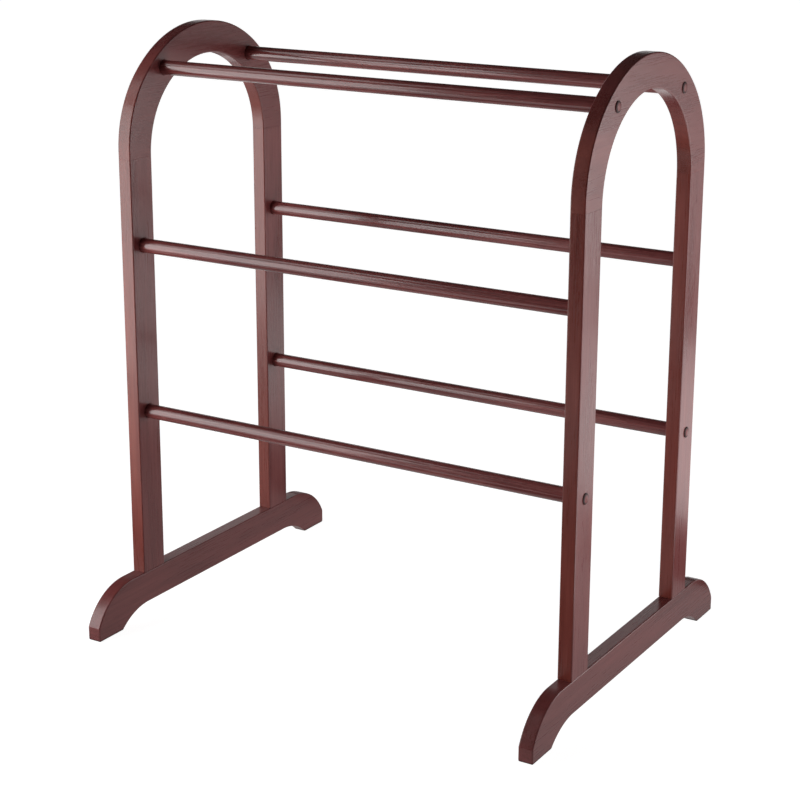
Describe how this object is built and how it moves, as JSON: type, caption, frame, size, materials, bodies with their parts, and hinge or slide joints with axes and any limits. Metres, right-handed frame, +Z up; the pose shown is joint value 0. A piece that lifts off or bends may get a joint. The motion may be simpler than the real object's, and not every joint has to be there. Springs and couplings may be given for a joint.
{
  "type": "quilt rack",
  "caption": "Free-standing wooden quilt rack: two arched side frames on bracket feet, joined by pairs of round hanging rungs.",
  "frame": {"origin": "on the floor, at the middle of the rack in width and depth", "axes": "+Z up, +X along the rungs towards the right side frame, -Y towards the front"},
  "size_m": [0.7044, 0.56, 0.836],
  "materials": {
    "frame_wood": "dark reddish-brown walnut stain under a satin lacquer",
    "rung_wood": "turned hardwood for the rungs and bolt caps, the same stain and satin lacquer",
    "bolt_metal": "dark bronze, satin",
    "insert_metal": "plain turned, unpolished",
    "dowel_wood": "bare beech, unstained"
  },
  "bodies": {
    "root": {"left_foot_rail": "frame_wood", "right_foot_rail": "frame_wood", "left_front_upright": "frame_wood", "left_rear_upright": "frame_wood", "right_front_upright": "frame_wood", "right_rear_upright": "frame_wood", "left_arch": "frame_wood", "right_arch": "frame_wood", "top_front_rung": "rung_wood", "top_rear_rung": "rung_wood", "middle_front_rung": "rung_wood", "middle_rear_rung": "rung_wood", "lower_front_rung": "rung_wood", "lower_rear_rung": "rung_wood", "left_top_front_bolt": "bolt_metal", "left_top_rear_bolt": "bolt_metal", "left_lower_front_bolt": "bolt_metal", "left_lower_rear_bolt": "bolt_metal", "right_top_front_bolt": "bolt_metal", "right_top_rear_bolt": "bolt_metal", "right_lower_front_bolt": "bolt_metal", "right_lower_rear_bolt": "bolt_metal", "left_top_front_insert": "insert_metal", "left_top_rear_insert": "insert_metal", "left_lower_front_insert": "insert_metal", "left_lower_rear_insert": "insert_metal", "right_top_front_insert": "insert_metal", "right_top_rear_insert": "insert_metal", "right_lower_front_insert": "insert_metal", "right_lower_rear_insert": "insert_metal", "left_top_front_cap": "rung_wood", "left_top_rear_cap": "rung_wood", "left_lower_front_cap": "rung_wood", "left_lower_rear_cap": "rung_wood", "right_top_front_cap": "rung_wood", "right_top_rear_cap": "rung_wood", "right_lower_front_cap": "rung_wood", "right_lower_rear_cap": "rung_wood", "left_front_foot_dowels": "dowel_wood", "left_rear_foot_dowels": "dowel_wood", "right_front_foot_dowels": "dowel_wood", "right_rear_foot_dowels": "dowel_wood", "left_front_arch_dowels": "dowel_wood", "left_rear_arch_dowels": "dowel_wood", "right_front_arch_dowels": "dowel_wood", "right_rear_arch_dowels": "dowel_wood"}
  },
  "joints": []
}
